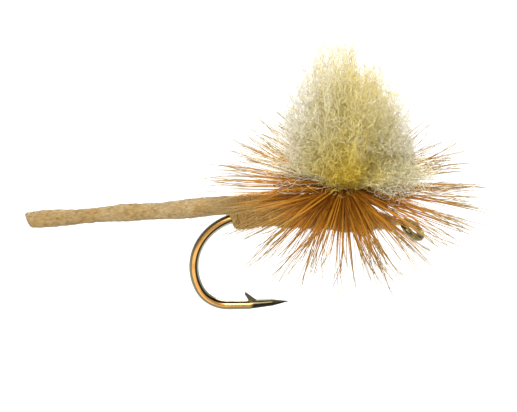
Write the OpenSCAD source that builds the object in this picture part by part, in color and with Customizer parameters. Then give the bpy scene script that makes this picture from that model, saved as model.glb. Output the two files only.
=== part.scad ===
// Parachute dry fly with an extended cord body, tied on a barbed hook with a turned-down eye.
// Millimetres. The origin is the centre of the hook eye, +X points forward along the shank
// and +Z points up through the wing. The hook point hangs below the shank.

/* [Hook] */
// diameter of the hook wire at the shank and bend
wire_d = 0.62; // [0.46:0.02:0.68]
// eye centre to the start of the bend, measured along the shank
shank_len = 10.1; // [8.4:0.1:12.2]
// centreline radius of the round back of the bend
bend_r = 4; // [3.3:0.1:4.8]
// angle that the wire turns through round the back of the bend
bend_turn = 117; // [105:1:130]
// centreline radius of the tighter heel below it
heel_r = 2.06; // [1.6:0.02:2.5]
// angle at which the wire rises above the shank line after the heel
point_rise = 5; // [2:1:8]
// straight wire between the heel and the start of the taper
straight_len = 1.15; // [0.9:0.05:1.4]
// length of the tapered spear that ends in the point, ground steeper over its last part
spear_len = 2.6; // [2:0.1:3]
// height of the barb tip above the wire axis
barb_h = 0.88; // [0.7:0.02:1]
// width of the barb across the wire
barb_w = 0.26; // [0.18:0.02:0.34]

/* [Hook eye] */
// radius of the clear hole through the eye
eye_hole_r = 0.52; // [0.44:0.02:0.6]
// diameter of the wire in the eye ring
eye_wire_d = 0.46; // [0.4:0.02:0.5]
// angle at which the eye turns down from the shank
eye_drop = 35; // [25:1:45]

/* [Cord body] */
// diameter of the cord behind the hook
cord_d = 1.12; // [0.96:0.02:1.28]
// length of the cord from the back of the bend to the cut end
cord_len = 13.3; // [11.3:0.1:16.4]
// angle at which the cord falls away behind the hook
cord_fall = 8.6; // [5:0.2:11]
// slant of the cut end of the cord
cut_slant = 21; // [0:1:30]
// diameter of the thread core in the middle of the cord
core_d = 0.2; // [0.14:0.02:0.26]

/* [Dubbing] */
// thickness of dubbing over the thread and cord beneath it
dub_cover = 0.2; // [0.14:0.02:0.26]
// radius of the dubbing lump at the top of the bend
lump_r = 0.97; // [0.8:0.02:1.1]

/* [Thread] */
// diameter of the tying thread
thread_d = 0.1; // [0.08:0.01:0.12]
// turns of thread that bind the cord to the shank
bind_turns = 9; // [5:1:11]
// turns in the whip finish behind the eye
whip_turns = 4; // [3:1:5]

/* [Wing post] */
// eye centre to the wing post, measured along the shank
post_x = 4.64; // [4.2:0.1:5.4]
// radius of the gathered yarn in the post
post_r = 0.6; // [0.5:0.02:0.68]
// height of the yarn wing above the hackle
wing_h = 9.1; // [7.6:0.1:11]
// widest radius of the yarn wing
wing_r = 3.7; // [3:0.1:4.4]
// angle at which the wing leans back
wing_lean = 9; // [0:1:14]
// length of the loose tuft of yarn that leans forward
tuft_len = 6.2; // [5:0.1:7.4]

/* [Hackle] */
// length of the longest hackle barbs
barb_len = 7.5; // [6.2:0.1:9]
// turns of the hackle stem round the post
hackle_turns = 4; // [3:1:4]
// hackle barbs in each turn
barbs_per_turn = 18; // [12:1:20]
// thickness of a barb at the stem
barb_d = 0.11; // [0.08:0.01:0.12]
// diameter of the hackle stem
stem_d = 0.2; // [0.16:0.01:0.22]
// mean droop of the barbs below the level of the stem
barb_droop = 6.5; // [4:0.5:8]
// extra droop on the near side, taken off on the far side
side_tilt = 9; // [0:1:12]

/* [Hidden] */
$fn = 48;

// clearances: thread on wire, and soft material round what it covers
snug = 0.01;
ease = 0.02;

// hook
wire_r = wire_d / 2;
eye_wire_r = eye_wire_d / 2;
neck_r = eye_wire_r - 0.01;
eye_land = 0.2;
eye_ring_r = eye_hole_r + eye_land;
neck_bend_r = 0.45;
neck_tangent = neck_bend_r * tan(eye_drop / 2);
shank_z = (eye_ring_r + neck_tangent) * sin(eye_drop);
neck_start = (eye_ring_r + neck_tangent) * cos(eye_drop) + neck_tangent;
taper_front = neck_start + 0.15;
taper_back = taper_front + 0.5;
spear_turn = 4;
spear_bend_r = 2;
tip_r = 0.02;
spear_mid_r = wire_r * 0.7;
collar_len = 0.04;
collar_step = 0.002;

// head and thread base on the shank
head_front = taper_front + 0.08;
head_back = 2.3;
whip_len = whip_turns * thread_d;
base_r = wire_r + snug + 0.06;
head_bore = wire_r + snug;
head_r0 = 0.62;
head_r1 = wire_r + snug + thread_d;
film_t = 0.03;

// cord: bound down to a smaller radius where the thread holds it
cord_r = cord_d / 2;
bound_r = cord_r * 0.6;
cord_z = shank_z + base_r + ease + bound_r;
wrap_r = max(base_r, bound_r) + snug + thread_d / 2;
split_x = post_x + post_r + 0.16;
bind_back = shank_len - 0.2;
bind_len = 0.58 * (bind_back - split_x);
cord_front = bind_back - bind_len;
squeeze_len = 1.45;
cord_bend_r = 3;

// dubbed body, centred between the shank and the bound cord
dub_top = cord_z + wrap_r + thread_d / 2 + dub_cover;
dub_bottom = shank_z - base_r - dub_cover;
dub_z = (dub_top + dub_bottom) / 2;
dub_r = (dub_top - dub_bottom) / 2;
dub_back = shank_len - 0.1;
lump_len = 1.8;
channel_r = wrap_r + thread_d / 2 + ease;
thorax_front_z = shank_z + 0.12;
thorax_pitch = atan((dub_z - thorax_front_z) / (split_x - head_back));

// wing post: the yarn passes under the shank as a flat band and stands up as a column
band_t = 0.14;
band_w = 2 * post_r;
band_in = base_r + snug;
column_z = shank_z + base_r + ease;
leg_top = column_z + 0.3;
wraps_z = dub_top + 0.08;
stem_z = wraps_z + 2 * thread_d + stem_d / 2 + 0.05;
stem_pitch = stem_d + 0.04;
wraps_top = stem_z + hackle_turns * stem_pitch + stem_d / 2;
wing_z = wraps_top + 0.08;
wraps_in = post_r + snug;
wraps_out = wraps_in + thread_d;
stem_path_r = wraps_out + snug + stem_d / 2;
barb_start = stem_path_r + stem_d / 2 + ease;

// Tube that starts at the origin along +X and turns towards +Y; children follow its end.
module bend(r, turn_r, a) {
    translate([0, turn_r, 0]) rotate([0, 0, -90])
        rotate_extrude(angle = a) translate([turn_r, 0]) circle(r = r);
    translate([0, turn_r, 0]) rotate([0, 0, a]) translate([0, -turn_r, 0]) children();
}

// Straight or tapered round bar from the origin along +X; children follow its end.
module bar(len, r1, r2) {
    rotate([0, 90, 0]) cylinder(h = len, r1 = r1, r2 = r2);
    translate([len, 0, 0]) children();
}

// Solid turned about the X axis from [x, radius] points.
module turned(points) {
    rotate([0, 90, 0]) rotate_extrude() polygon([for (p = points) [p[1], p[0]]]);
}

// Stands a shape drawn in the XY plane upright, with its Y axis up.
module upright() {
    rotate([90, 0, 0]) children();
}

module eye_ring() {
    rotate([90, 0, 0]) difference() {
        rotate_extrude() translate([eye_ring_r, 0]) circle(r = eye_wire_r);
        translate([0, 0, -eye_wire_d]) cylinder(h = 2 * eye_wire_d, r = eye_hole_r);
    }
}

module point_barb() {
    root = straight_len + 0.25;
    lean = barb_h * 0.34;
    translate([0, 0, -barb_w / 2]) linear_extrude(height = barb_w)
        polygon([[root + 0.6, 0.12], [root + 0.24, 0.4], [root - lean, barb_h],
            [root - lean - 0.05, barb_h - 0.03], [root, 0.12]]);
}

// Thin collar that closes the joint between two lengths of wire; children carry on from it.
module joint(r) {
    rotate([0, 90, 0]) cylinder(h = collar_len, r = r + collar_step, center = true);
    children();
}

module hook() {
    color([0.42, 0.31, 0.16]) translate([0, 0, shank_z]) upright() {
        translate([-shank_len, 0, 0]) bar(shank_len - taper_back, wire_r, wire_r)
            bar(taper_back - taper_front, wire_r, neck_r)
            bar(taper_front - neck_start, neck_r, neck_r)
            mirror([0, 1, 0]) bend(neck_r, neck_bend_r, eye_drop)
            translate([eye_ring_r, 0, 0]) eye_ring();
        translate([-shank_len, 0, 0]) rotate([0, 0, 180]) bend(wire_r, bend_r, bend_turn)
            joint(wire_r) bend(wire_r, heel_r, 180 + point_rise - bend_turn)
            joint(wire_r) {
                bar(straight_len, wire_r, wire_r) joint(wire_r) bend(wire_r, spear_bend_r, spear_turn)
                    joint(wire_r) bar(spear_len * 0.6, wire_r, spear_mid_r)
                    bar(spear_len * 0.4, spear_mid_r, tip_r);
                point_barb();
            }
    }
}

module thread_base() {
    len = shank_len - 0.1 - head_back;
    color([0.55, 0.42, 0.26]) translate([-shank_len + 0.1, 0, shank_z]) rotate([0, 90, 0])
        difference() {
            cylinder(h = len, r = base_r);
            translate([0, 0, -1]) cylinder(h = len + 2, r = head_bore);
        }
}

// Follows the cord from its bound front end back to the cut tail, grown by extra.
module cord_run(r_bound, r_free, extra) {
    translate([-cord_front, 0, cord_z]) upright() rotate([0, 0, 180]) translate([-extra, 0, 0])
        bar(bind_len + extra, r_bound + extra, r_bound + extra)
        bar(squeeze_len, r_bound + extra, r_free + extra)
        joint(r_free + extra) bend(r_free + extra, cord_bend_r, cord_fall)
        joint(r_free + extra) difference() {
            bar(cord_len + cord_d, r_free + extra, r_free + extra);
            translate([cord_len, 0, 0]) rotate([0, 0, cut_slant])
                translate([0, -cord_d * 2, -cord_d * 2]) cube(cord_d * 4);
        }
}

module body_cord() {
    color([0.78, 0.65, 0.48]) difference() {
        cord_run(bound_r, cord_r, 0);
        cord_run(core_d / 2, core_d / 2, snug);
    }
}

module cord_core() {
    color([0.7, 0.6, 0.45]) cord_run(core_d / 2, core_d / 2, 0);
}

// One turn of thread round the shank and the cord together.
module bind_turn() {
    straight = cord_z - shank_z;
    for (end = [0, 1]) translate([0, end * straight, 0]) rotate([0, 0, end ? 0 : 180])
        rotate_extrude(angle = 180) translate([wrap_r, 0]) circle(r = thread_d / 2);
    for (side = [-1, 1]) translate([side * wrap_r, 0, 0]) rotate([-90, 0, 0])
        cylinder(h = straight, r = thread_d / 2);
}

module body_wraps() {
    step = (bind_len - 0.4) / (bind_turns - 1);
    color([0.6, 0.46, 0.28]) for (i = [0 : bind_turns - 1])
        translate([-cord_front - 0.2 - i * step, 0, shank_z]) rotate([90, 0, 90]) bind_turn();
}

module rear_dubbing() {
    steps = 16;
    color([0.68, 0.54, 0.36]) difference() {
        translate([-dub_back - ease, 0, shank_z - 0.08]) intersection() {
            rotate([0, -7, 0]) turned([for (i = [0 : steps]) let(t = i / steps)
                [0.35 - (lump_len + 0.35) * t, lump_r * pow(sin(180 * (0.02 + 0.96 * t)), 0.6)]]);
            translate([-4, -2, -2]) cube([4, 4, 4]);
        }
        translate([-shank_len, 0, shank_z]) upright() rotate([0, 0, 180])
            bend(wire_r + ease, bend_r, 60);
        // the wire is still straight where it enters the front of the lump
        translate([-shank_len - collar_len, 0, shank_z]) rotate([0, 90, 0])
            cylinder(h = 1, r = wire_r + ease + collar_step);
        cord_run(bound_r, cord_r, ease);
    }
}

// Radius of the dubbed abdomen at a share t of its length from the rear.
function abdomen_r(t) = dub_r * (1 - 0.16 * pow(1 - t, 5)) + 0.03 * sin(1260 * t);

// Channel through the dubbing for the shank, the cord and the turns that bind them.
module cord_channel(len) {
    rotate([90, 0, 90]) linear_extrude(height = len) {
        circle(r = channel_r);
        translate([0, cord_z - shank_z]) circle(r = channel_r);
        translate([-channel_r, 0]) square([2 * channel_r, cord_z - shank_z]);
    }
}

module abdomen_dubbing() {
    len = dub_back - split_x - ease;
    steps = 32;
    color([0.72, 0.58, 0.4]) difference() {
        translate([-dub_back, 0, dub_z]) turned(concat([[0, 0]],
            [for (i = [0 : steps]) [len * i / steps, abdomen_r(i / steps)]], [[len, 0]]));
        translate([-dub_back - 1, 0, shank_z]) rotate([0, 90, 0])
            cylinder(h = len + 2, r = base_r + ease);
        translate([-dub_back - 1, 0, shank_z]) cord_channel(dub_back + 1 - cord_front + ease);
    }
}

// Radius of the thorax at a share t of its length from the wing post forward.
function thorax_r(t) = dub_r * (1.02 + 0.06 * sin(220 * t)) * (1 - 0.42 * t * t);

module yarn_seat(extra) {
    translate([-post_x - band_w / 2 - extra, 0, shank_z]) rotate([90, 0, 90])
        linear_extrude(height = band_w + 2 * extra) {
            circle(r = band_in + band_t + extra);
            translate([-band_in - band_t - extra, 0])
                square([2 * (band_in + band_t + extra), leg_top - shank_z + extra]);
        }
    translate([-post_x, 0, column_z]) cylinder(h = wing_z - column_z, r = post_r + extra);
}

module thorax_dubbing() {
    len = split_x - head_back;
    steps = 20;
    color([0.7, 0.56, 0.38]) difference() {
        intersection() {
            translate([-split_x, 0, dub_z]) rotate([0, thorax_pitch, 0]) turned(concat(
                [[-0.3, 0]], [for (i = [0 : steps]) [-0.3 + (len + 0.6) * i / steps, thorax_r(i / steps)]],
                [[len + 0.3, 0]]));
            translate([-split_x, -2, -2]) cube([len, 4, 6]);
        }
        translate([-split_x - 1, 0, shank_z]) rotate([0, 90, 0])
            cylinder(h = len + 2, r = base_r + ease);
        yarn_seat(ease);
    }
}

// Radius of the spread wing at a share t of its height: it opens fast above the hackle,
// is widest below the middle and closes to a loose top.
function wing_spread(t) = post_r * 0.9 * (1 - t)
    + (wing_r - post_r * 0.5) * pow(sin(180 * pow(t, 0.8)), 0.6);

module wing_plume() {
    steps = 28;
    translate([-post_x, 0, wing_z]) rotate([0, -wing_lean, 0])
        rotate_extrude() polygon(concat([[0, -0.25], [post_r * 0.9, -0.25]],
            [for (i = [0 : steps - 1]) [wing_spread(i / steps), wing_h * i / steps]], [[0, wing_h]]));
}

module wing_tuft() {
    steps = 16;
    translate([-post_x, 0, wing_z + 0.75]) rotate([0, 0, -13]) rotate([0, -20, 0])
        turned(concat([[0, 0]], [for (i = [0 : steps])
            [tuft_len * i / steps, 0.45 + 0.5 * sin(165 * i / steps)]], [[tuft_len + 0.35, 0]]));
}

module wing_yarn() {
    color([0.93, 0.84, 0.5]) {
        difference() {
            yarn_seat(0);
            translate([-post_x - band_w, 0, shank_z]) rotate([90, 0, 90])
                linear_extrude(height = 2 * band_w) {
                    circle(r = band_in);
                    translate([-band_in, 0]) square([2 * band_in, column_z - shank_z]);
                }
        }
        wing_plume();
        wing_tuft();
    }
}

module post_wraps() {
    len = wraps_top - wraps_z;
    turns = floor((len - thread_d) / (thread_d * 1.2));
    color([0.6, 0.46, 0.28]) translate([-post_x, 0, wraps_z]) rotate_extrude() {
        translate([wraps_in, 0]) square([thread_d / 2, len]);
        for (i = [0 : turns])
            translate([wraps_out - thread_d / 2, thread_d / 2 + i * (len - thread_d) / turns])
                circle(r = thread_d / 2);
    }
}

// Direction of the barbs round the post: they ride up over the body and droop at the sides.
function barb_slope(az) = -barb_droop + side_tilt * sin(az) - cos(az) + 3.5 * cos(2 * az);

module hackle_stem() {
    per_turn = 24;
    sides = 10;
    last = per_turn * hackle_turns;
    points = [for (i = [0 : last], j = [0 : sides - 1])
        let (az = 360 * i / per_turn, a = 360 * j / sides, rad = stem_path_r + stem_d / 2 * cos(a))
        [rad * cos(az), rad * sin(az), stem_pitch * i / per_turn + stem_d / 2 * sin(a)]];
    walls = [for (i = [0 : last - 1], j = [0 : sides - 1], k = [0, 1])
        let (a = i * sides + j, b = i * sides + (j + 1) % sides, c = a + sides, d = b + sides)
        k ? [a, d, c] : [a, b, d]];
    color([0.45, 0.3, 0.16]) translate([-post_x, 0, stem_z]) polyhedron(points = points,
        faces = concat([[for (j = [sides - 1 : -1 : 0]) j]], walls,
            [[for (j = [0 : sides - 1]) last * sides + j]]));
}

module hackle_barbs() {
    color([0.66, 0.42, 0.2]) for (i = [0 : hackle_turns * barbs_per_turn - 1]) {
        az = 360 * (i + 0.5) / (barbs_per_turn + 0.3);
        len = barb_len * (0.94 + 0.06 * sin(137.5 * i));
        if (az < 360 * hackle_turns) translate([-post_x, 0, stem_z + stem_pitch * az / 360])
            rotate([0, 0, az]) translate([barb_start, 0, 0]) rotate([0, 90 - barb_slope(az), 0])
            cylinder(h = len, r1 = barb_d / 2, r2 = barb_d / 8, $fn = 8);
    }
}

module tie_off_wraps() {
    r = thread_d / 2;
    color([0.5, 0.38, 0.24]) for (i = [0, 1]) translate([-post_x, 0, wraps_z + r + i * (thread_d + ease)])
        rotate_extrude() translate([wraps_out + snug + r, 0]) circle(r = r);
}

module head_thread() {
    len = head_back - ease - head_front - whip_len;
    color([0.4, 0.27, 0.15]) translate([-head_back + ease, 0, shank_z]) difference() {
        bar(len, head_r0, head_r1);
        translate([-1, 0, 0]) bar(len + 2, head_bore, head_bore);
    }
}

module whip_finish() {
    color([0.35, 0.24, 0.14]) translate([-head_front, 0, shank_z]) rotate([0, -90, 0]) rotate_extrude() {
        translate([head_bore, 0]) square([thread_d * 0.3, whip_len - ease]);
        for (i = [0 : whip_turns - 1])
            translate([head_bore + thread_d * 0.5, thread_d * (i + 0.5) - ease / 2])
                circle(r = thread_d * 0.5 - ease / 2);
    }
}

module head_cement() {
    len = head_back - ease - head_front - whip_len;
    fall = (head_r0 - head_r1) / len;
    start = 0.08;
    end = len - 0.06;
    color([0.75, 0.6, 0.35, 0.6]) translate([-head_back + ease, 0, shank_z]) turned([
        [start, head_r0 - fall * start + snug], [end, head_r0 - fall * end + snug],
        [end, head_r0 - fall * end + snug + film_t], [start, head_r0 - fall * start + snug + film_t]]);
}

hook();
thread_base();
body_cord();
cord_core();
body_wraps();
rear_dubbing();
abdomen_dubbing();
thorax_dubbing();
wing_yarn();
post_wraps();
hackle_stem();
hackle_barbs();
tie_off_wraps();
head_thread();
whip_finish();
head_cement();
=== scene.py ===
import math
import bpy
import numpy as np
from mathutils import Matrix, Vector


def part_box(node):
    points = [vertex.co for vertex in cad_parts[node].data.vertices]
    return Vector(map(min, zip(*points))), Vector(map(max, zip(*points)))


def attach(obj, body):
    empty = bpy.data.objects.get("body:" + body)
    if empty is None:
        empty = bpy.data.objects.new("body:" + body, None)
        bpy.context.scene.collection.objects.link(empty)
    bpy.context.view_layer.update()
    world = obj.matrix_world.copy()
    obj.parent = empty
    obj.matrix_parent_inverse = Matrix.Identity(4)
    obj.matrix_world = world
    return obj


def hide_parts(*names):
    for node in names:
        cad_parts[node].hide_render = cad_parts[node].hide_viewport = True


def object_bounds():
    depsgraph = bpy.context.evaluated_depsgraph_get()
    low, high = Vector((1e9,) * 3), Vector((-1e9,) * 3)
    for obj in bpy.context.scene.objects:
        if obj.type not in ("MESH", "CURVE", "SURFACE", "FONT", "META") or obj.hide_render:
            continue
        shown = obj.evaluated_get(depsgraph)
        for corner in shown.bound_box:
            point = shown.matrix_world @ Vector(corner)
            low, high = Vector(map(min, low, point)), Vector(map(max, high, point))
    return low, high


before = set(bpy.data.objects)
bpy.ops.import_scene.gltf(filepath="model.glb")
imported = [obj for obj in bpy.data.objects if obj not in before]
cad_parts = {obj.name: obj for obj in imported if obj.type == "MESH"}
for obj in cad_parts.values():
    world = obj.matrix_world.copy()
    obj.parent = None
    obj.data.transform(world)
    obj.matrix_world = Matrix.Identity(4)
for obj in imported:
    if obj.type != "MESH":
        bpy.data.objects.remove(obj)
cadLow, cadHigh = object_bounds()
mm = 0.001


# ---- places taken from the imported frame

def boxOf(node):
    low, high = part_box(node)
    return np.array(low), np.array(high)


baseLow, baseHigh = boxOf("thread_base")
cordLow, cordHigh = boxOf("body_cord")
hookLow, hookHigh = boxOf("hook")
stemLow, stemHigh = boxOf("hackle_stem")
wrapsLow, wrapsHigh = boxOf("post_wraps")
abdomenLow, abdomenHigh = boxOf("abdomen_dubbing")
thoraxLow, thoraxHigh = boxOf("thorax_dubbing")
lumpLow, lumpHigh = boxOf("rear_dubbing")
headLow, headHigh = boxOf("head_thread")
whipLow, whipHigh = boxOf("whip_finish")
tieLow, tieHigh = boxOf("tie_off_wraps")
bindLow, bindHigh = boxOf("body_wraps")
shankZ = (baseLow[2] + baseHigh[2]) / 2
postX = (wrapsLow[0] + wrapsHigh[0]) / 2
wireRadius = 0.28 * mm
bendReach = (shankZ - hookLow[2]) / 2 + wireRadius


# ---- camera

view = {"lens": 400.0, "width": 33.6 * mm, "elevation": 30.0, "roll": 3.0,
        "target": (-10.08 * mm, 0.0, 1.16 * mm)}


def addCamera():
    # right and up start level with the shank, then roll about the line of sight
    tilt = math.radians(view["elevation"])
    roll = math.radians(view["roll"])
    away = Vector((0, -math.cos(tilt), math.sin(tilt)))
    levelRight = Vector((1, 0, 0))
    levelUp = Vector((0, math.sin(tilt), math.cos(tilt)))
    right = levelRight * math.cos(roll) + levelUp * math.sin(roll)
    up = levelUp * math.cos(roll) - levelRight * math.sin(roll)
    data = bpy.data.cameras.new("camera")
    data.lens = view["lens"]
    data.sensor_width = 36
    data.clip_start = 0.001
    distance = view["width"] * view["lens"] / data.sensor_width
    place = Vector(view["target"]) + away * distance
    camera = bpy.data.objects.new("camera", data)
    turn = Matrix((right, up, away)).transposed().to_4x4()
    camera.matrix_world = Matrix.Translation(place) @ turn
    bpy.context.scene.collection.objects.link(camera)
    bpy.context.scene.camera = camera


addCamera()


# ---- mesh helpers

def stepRow(steps):
    # places along a fibre, from 0 at the root to 1 at the tip
    return np.linspace(0, 1, steps)[None, :]


def unitRows(vectors):
    return vectors / np.linalg.norm(vectors, axis=-1, keepdims=True)


def finishPiece(mesh, material, replaced):
    mesh.polygons.foreach_set("use_smooth", np.ones(len(mesh.polygons), dtype=bool))
    mesh.materials.append(material)
    piece = bpy.data.objects.new(mesh.name, mesh)
    bpy.context.scene.collection.objects.link(piece)
    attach(piece, "root")
    if replaced:
        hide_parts(*replaced)
    return piece


def meshFromFaces(name, points, faceLists):
    # faceLists holds whole-number arrays, one row per face, each array of one corner count
    mesh = bpy.data.meshes.new(name)
    mesh.vertices.add(len(points))
    mesh.vertices.foreach_set("co", np.ascontiguousarray(points, dtype=np.float32).ravel())
    corners = np.concatenate([f.ravel() for f in faceLists])
    counts = np.concatenate([np.full(len(f), f.shape[1]) for f in faceLists])
    mesh.loops.add(len(corners))
    mesh.loops.foreach_set("vertex_index", corners.astype(np.int32))
    mesh.polygons.add(len(counts))
    starts = np.concatenate([[0], np.cumsum(counts)[:-1]])
    mesh.polygons.foreach_set("loop_start", starts.astype(np.int32))
    mesh.update(calc_edges=True)
    return mesh


def pointValue(mesh, name, values):
    layer = mesh.attributes.get(name) or mesh.attributes.new(name, "FLOAT", "POINT")
    layer.data.foreach_set("value", np.ascontiguousarray(values, dtype=np.float32).ravel())


def gridFaces(rings, around):
    # quads between neighbouring rings, then a fan to one centre point at each end
    side = np.arange(around)
    after = (side + 1) % around
    ring = np.arange(rings - 1)[:, None] * around
    quads = np.stack([ring + side, ring + after, ring + around + after, ring + around + side], axis=-1)
    quads = quads.reshape(-1, 4)
    first = rings * around
    last = (rings - 1) * around
    startFan = np.stack([np.full(around, first), after, side], axis=1)
    endFan = np.stack([np.full(around, first + 1), last + side, last + after], axis=1)
    return [quads, np.concatenate([startFan, endFan])]


def closedSkin(name, grid):
    # grid[ring, side, xyz]: a skin closed round its sides and at both ends
    rings, around = grid.shape[:2]
    ends = np.stack([grid[0].mean(axis=0), grid[-1].mean(axis=0)])
    points = np.concatenate([grid.reshape(-1, 3), ends])
    return meshFromFaces(name, points, gridFaces(rings, around))


def framesAlong(path, guide):
    # unit tangent along each path, and two unit vectors square to it, steered by a guide direction
    tangent = np.gradient(path, axis=-2)
    tangent /= np.linalg.norm(tangent, axis=-1, keepdims=True) + 1e-12
    across = np.cross(tangent, guide)
    across /= np.linalg.norm(across, axis=-1, keepdims=True) + 1e-12
    return tangent, across, np.cross(tangent, across)


def fibreBundle(name, paths, radii, sides, tones):
    # paths[fibre, step, xyz]; each fibre is a thin closed tube: path + radius * (cos a * side + sin a * lift)
    count, steps = paths.shape[:2]
    run = paths[:, -1] - paths[:, 0]
    seed = np.random.default_rng(count + steps)
    guide = np.cross(run, seed.normal(size=(count, 3)))
    guide /= np.linalg.norm(guide, axis=1, keepdims=True) + 1e-12
    _, across, lift = framesAlong(paths, guide[:, None, :])
    angle = 2 * np.pi * np.arange(sides) / sides
    ring = (np.cos(angle)[:, None] * across[:, :, None, :] + np.sin(angle)[:, None] * lift[:, :, None, :])
    points = (paths[:, :, None, :] + radii[:, :, None, None] * ring).reshape(-1, 3)
    f = np.arange(count)[:, None, None] * steps * sides
    s = np.arange(steps - 1)[None, :, None] * sides
    j = np.arange(sides)[None, None, :]
    k = (j + 1) % sides
    quads = np.stack([f + s + j, f + s + k, f + s + sides + k, f + s + sides + j], axis=-1).reshape(-1, 4)
    last = (np.arange(count) * steps + steps - 1)[:, None] * sides + np.arange(sides)[None, :]
    first = last[:, ::-1] - (steps - 1) * sides
    mesh = meshFromFaces(name, points, [quads, first, last])
    along = np.broadcast_to(np.linspace(0, 1, steps)[None, :, None], (count, steps, sides))
    pointValue(mesh, "along", along)
    pointValue(mesh, "tone", np.broadcast_to(tones[:, None, None], (count, steps, sides)))
    return mesh


def softNoise(points, size, seed, waves=24):
    # sum of sine waves in random directions, with wavelengths near size; runs from about -1 to 1
    dice = np.random.default_rng(seed)
    direction = unitRows(dice.normal(size=(waves, 3)))
    wavelength = size * dice.uniform(0.6, 1.6, waves)
    phase = dice.uniform(0, 2 * np.pi, waves)
    swing = points @ (direction * (2 * np.pi / wavelength)[:, None]).T + phase
    return np.sin(swing).sum(axis=-1) * math.sqrt(2 / waves) * 0.5


# ---- materials

def newMaterial(name, settings):
    # settings gives the fixed values of the shader's own sockets
    material = bpy.data.materials.new(name)
    material.use_nodes = True
    tree = material.node_tree
    shader = tree.nodes["Principled BSDF"]
    for socket, value in settings.items():
        shader.inputs[socket].default_value = value
    return material, tree, shader


def addNode(tree, kind, values=None, **choices):
    node = tree.nodes.new(kind)
    for key, value in choices.items():
        setattr(node, key, value)
    for socket, value in (values or {}).items():
        node.inputs[socket].default_value = value
    return node


def colourRamp(tree, factor, stops):
    ramp = tree.nodes.new("ShaderNodeValToRGB")
    elements = ramp.color_ramp.elements
    while len(elements) < len(stops):
        elements.new(0.5)
    for element, (position, colour) in zip(elements, stops):
        element.position = position
        element.color = (*colour, 1)
    tree.links.new(factor, ramp.inputs["Fac"])
    return ramp.outputs["Color"]


def objectPlace(tree, scale=(1, 1, 1), turn=(0, 0, 0)):
    place = addNode(tree, "ShaderNodeTexCoord")
    mapping = addNode(tree, "ShaderNodeMapping", {"Scale": scale, "Rotation": turn})
    tree.links.new(place.outputs["Object"], mapping.inputs["Vector"])
    return mapping.outputs["Vector"]


def noise(tree, place, size, detail=3.0, roughness=0.55):
    # size is the width of one patch in metres
    node = addNode(tree, "ShaderNodeTexNoise", {"Scale": 1 / size, "Detail": detail, "Roughness": roughness})
    tree.links.new(place, node.inputs["Vector"])
    return node.outputs["Fac"]


def mixColour(tree, factor, first, second, blend="MIX"):
    node = addNode(tree, "ShaderNodeMix", data_type="RGBA", blend_type=blend)
    for socket, value in ((0, factor), (6, first), (7, second)):
        if isinstance(value, (float, int)):
            node.inputs[socket].default_value = value
        elif isinstance(value, tuple):
            node.inputs[socket].default_value = (*value, 1)
        else:
            tree.links.new(value, node.inputs[socket])
    return node.outputs[2]


def mapRange(tree, value, fromLow, fromHigh, toLow=0.0, toHigh=1.0):
    node = addNode(tree, "ShaderNodeMapRange", {"From Min": fromLow, "From Max": fromHigh,
                                                "To Min": toLow, "To Max": toHigh})
    tree.links.new(value, node.inputs["Value"])
    return node.outputs["Result"]


def paint(tree, shader, colour, roughness=None):
    tree.links.new(colour, shader.inputs["Base Color"])
    if roughness is not None:
        tree.links.new(roughness, shader.inputs["Roughness"])


def addBump(tree, shader, height, strength, distance):
    bump = addNode(tree, "ShaderNodeBump", {"Strength": strength, "Distance": distance})
    tree.links.new(height, bump.inputs["Height"])
    tree.links.new(bump.outputs["Normal"], shader.inputs["Normal"])


def operate(tree, kind, operation, *values):
    # kind is Math or VectorMath; each value is a number, a vector or the output of another node
    node = addNode(tree, "ShaderNode" + kind, operation=operation)
    for socket, value in enumerate(values):
        if isinstance(value, (float, int, tuple)):
            node.inputs[socket].default_value = value
        else:
            tree.links.new(value, node.inputs[socket])
    return node.outputs["Value" if operation == "DOT_PRODUCT" else 0]


def splitVector(tree, vector):
    node = addNode(tree, "ShaderNodeSeparateXYZ")
    tree.links.new(vector, node.inputs["Vector"])
    return node.outputs


def attribute(tree, name):
    return addNode(tree, "ShaderNodeAttribute", attribute_name=name).outputs["Fac"]


def fibreMaterial(name, look):
    # colour runs from root to tip, darker or paler from fibre to fibre, and some light passes through
    material, tree, shader = newMaterial(name, {"Roughness": look["roughness"],
                                                "Specular IOR Level": look["gloss"]})
    colour = colourRamp(tree, attribute(tree, "along"), look["rootToTip"])
    shade = colourRamp(tree, attribute(tree, "tone"), look["tones"])
    colour = mixColour(tree, 1.0, colour, shade, "MULTIPLY")
    mottle = noise(tree, objectPlace(tree), look["mottle"])
    mottled = mapRange(tree, mottle, 0.35, 0.7, 0.0, look["mottleShare"])
    colour = mixColour(tree, mottled, colour, look["mottleColour"])
    rough = look["roughness"]
    paint(tree, shader, colour, mapRange(tree, mottle, 0.3, 0.7, rough - 0.08, rough + 0.1))
    glow = addNode(tree, "ShaderNodeBsdfTranslucent")
    tree.links.new(colour, glow.inputs["Color"])
    mixed = addNode(tree, "ShaderNodeMixShader", {"Fac": look["lightThrough"]})
    tree.links.new(shader.outputs["BSDF"], mixed.inputs[1])
    tree.links.new(glow.outputs["BSDF"], mixed.inputs[2])
    tree.links.new(mixed.outputs["Shader"], tree.nodes["Material Output"].inputs["Surface"])
    return material


# bronze colours, most of them painted light: a highlight band, dark and pale reflections, the point's lit top
# and shaded underside, the eye's tones
bronze = {"highlightBand": (0.86, 0.43, 0.12), "highlightBandDim": (0.66, 0.32, 0.085), "innerDarkReflection": (0.03, 0.02, 0.008),
          "innerRimReflection": (0.36, 0.35, 0.25), "outerDarkReflection": (0.12, 0.1, 0.045), "outerRimReflection": (0.2, 0.19, 0.11),
          "point": (0.018, 0.014, 0.007), "pointLitTone": (0.075, 0.066, 0.032), "eye": (0.16, 0.13, 0.05),
          "eyePaleGlint": (0.4, 0.36, 0.19), "roughness": 0.2, "bandRise": 0.87, "bandLean": 0.5}


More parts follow.
